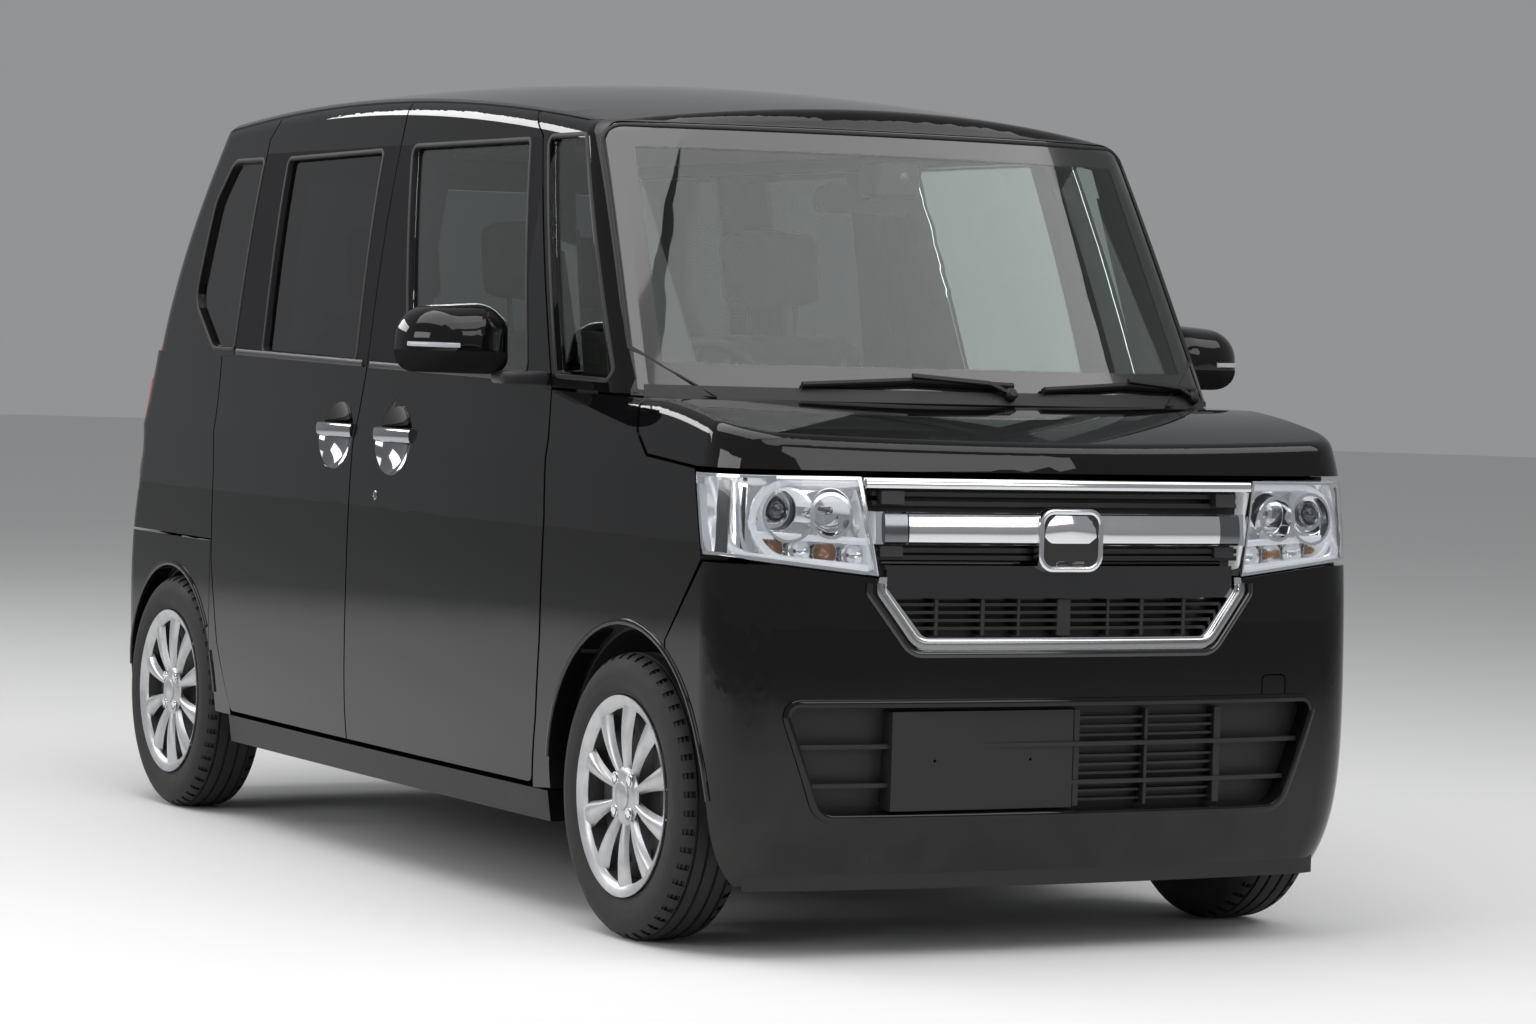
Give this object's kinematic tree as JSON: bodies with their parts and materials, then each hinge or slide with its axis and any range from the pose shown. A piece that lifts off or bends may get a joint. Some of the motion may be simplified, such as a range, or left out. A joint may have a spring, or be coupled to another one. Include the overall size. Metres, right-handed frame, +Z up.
{
  "type": "kei car",
  "caption": "Tall four-door kei wagon with hinged front doors, bonnet and tailgate, steered front wheels and a hollow cabin.",
  "frame": {"origin": "on the ground below the middle of the car, at the centre of its bounding box", "axes": "+X forward, +Y to the car's left, +Z up"},
  "size_m": [3.3966, 1.9768, 1.7348],
  "materials": {
    "black_paint": "gloss black",
    "dark_trim": "satin dark grey",
    "clear_glass": "greenish clear",
    "lamp_clear": "clear polycarbonate",
    "lamp_bright": "vacuum-plated reflector",
    "lamp_red": "red lens",
    "bright_trim": "polished",
    "black_plastic": "matte black",
    "under_steel": "dark coated",
    "cabin_plastic": "grained dark",
    "seat_cloth": "woven cloth",
    "tyre_rubber": "matte",
    "wheel_silver": "silver paint",
    "alloy_block": "cast"
  },
  "bodies": {
    "car_body": {"floor_pan": "under_steel", "side_frame_left": "dark_trim", "side_frame_right": "dark_trim", "roof_panel": "black_paint", "bulkhead": "under_steel", "fender_left": "black_paint", "fender_right": "black_paint", "quarter_panel_left": "black_paint", "quarter_panel_right": "black_paint", "front_pillar_left": "black_paint", "front_pillar_right": "black_paint", "sliding_door_left": "black_paint", "sliding_door_right": "black_paint", "windscreen": "clear_glass", "screen_surround": "dark_trim", "side_glass": "clear_glass", "front_bumper": "black_paint", "rear_bumper": "black_paint", "grille_trim": "bright_trim", "grille": "black_plastic", "intake_grille": "black_plastic", "headlamps": "lamp_bright", "headlamp_lenses": "lamp_clear", "tail_lamps": "lamp_red", "dashboard": "cabin_plastic", "front_seats": "seat_cloth", "rear_seat": "seat_cloth", "engine": "alloy_block", "radiator": "alloy_block", "front_subframe": "under_steel", "rear_axle_beam": "under_steel", "fuel_tank": "under_steel", "exhaust": "under_steel", "wheel_liners": "black_plastic"},
    "front_door_left": {"front_door_left": "black_paint", "front_door_glass_left": "clear_glass", "mirror_left": "black_paint"},
    "front_door_right": {"front_door_right": "black_paint", "front_door_glass_right": "clear_glass", "mirror_right": "black_paint"},
    "bonnet": {"bonnet": "black_paint"},
    "tailgate": {"tailgate": "black_paint", "tailgate_glass": "clear_glass"},
    "knuckle_left": {"knuckle_front_left": "under_steel"},
    "knuckle_right": {"knuckle_front_right": "under_steel"},
    "steering_wheel": {"steering_wheel": "cabin_plastic"},
    "wheel_front_left": {"tyre_front_left": "tyre_rubber", "wheel_front_left": "wheel_silver"},
    "wheel_front_right": {"tyre_front_right": "tyre_rubber", "wheel_front_right": "wheel_silver"},
    "wheel_rear_left": {"tyre_rear_left": "tyre_rubber", "wheel_rear_left": "wheel_silver"},
    "wheel_rear_right": {"tyre_rear_right": "tyre_rubber", "wheel_rear_right": "wheel_silver"}
  },
  "joints": [
    {"name": "front_door_hinge_left", "type": "hinge", "parent": "car_body", "child": "front_door_left", "pos_m": [0.808, 0.713, 0.55], "axis": [0, 0, -1], "range_deg": [0, 70]},
    {"name": "steer_left", "type": "hinge", "parent": "car_body", "child": "knuckle_left", "pos_m": [1.2436, 0.585, 0.17], "axis": [0, -0.1236, 0.9923], "range_deg": [-35, 35]},
    {"name": "wheel_spin_front_left", "type": "hinge", "parent": "knuckle_left", "child": "wheel_front_left", "pos_m": [1.2436, 0.6525, 0.2785], "axis": [0, 1, 0], "continuous": true},
    {"name": "wheel_spin_rear_left", "type": "hinge", "parent": "car_body", "child": "wheel_rear_left", "pos_m": [-1.2764, 0.6525, 0.2785], "axis": [0, 1, 0], "continuous": true},
    {"name": "front_door_hinge_right", "type": "hinge", "parent": "car_body", "child": "front_door_right", "pos_m": [0.808, -0.713, 0.55], "axis": [0, 0, 1], "range_deg": [0, 70]},
    {"name": "steer_right", "type": "hinge", "parent": "car_body", "child": "knuckle_right", "pos_m": [1.2436, -0.585, 0.17], "axis": [0, 0.1236, 0.9923], "range_deg": [-35, 35]},
    {"name": "wheel_spin_front_right", "type": "hinge", "parent": "knuckle_right", "child": "wheel_front_right", "pos_m": [1.2436, -0.6525, 0.2785], "axis": [0, 1, 0], "continuous": true},
    {"name": "wheel_spin_rear_right", "type": "hinge", "parent": "car_body", "child": "wheel_rear_right", "pos_m": [-1.2764, -0.6525, 0.2785], "axis": [0, 1, 0], "continuous": true},
    {"name": "bonnet_hinge", "type": "hinge", "parent": "car_body", "child": "bonnet", "pos_m": [1.182, 0, 1.04], "axis": [0, -1, 0], "range_deg": [0, 50]},
    {"name": "tailgate_hinge", "type": "hinge", "parent": "car_body", "child": "tailgate", "pos_m": [-1.352, 0, 1.676], "axis": [0, 1, 0], "range_deg": [0, 85]},
    {"name": "steering_column", "type": "hinge", "parent": "car_body", "child": "steering_wheel", "pos_m": [0.69, -0.33, 1.01], "axis": [-0.8829, 0, 0.4695], "range_deg": [-560, 560]}
  ],
  "couplings": [
    {"joint": "steer_right", "follows": "steer_left", "ratio": 1},
    {"joint": "steering_column", "follows": "steer_left", "ratio": 16}
  ]
}
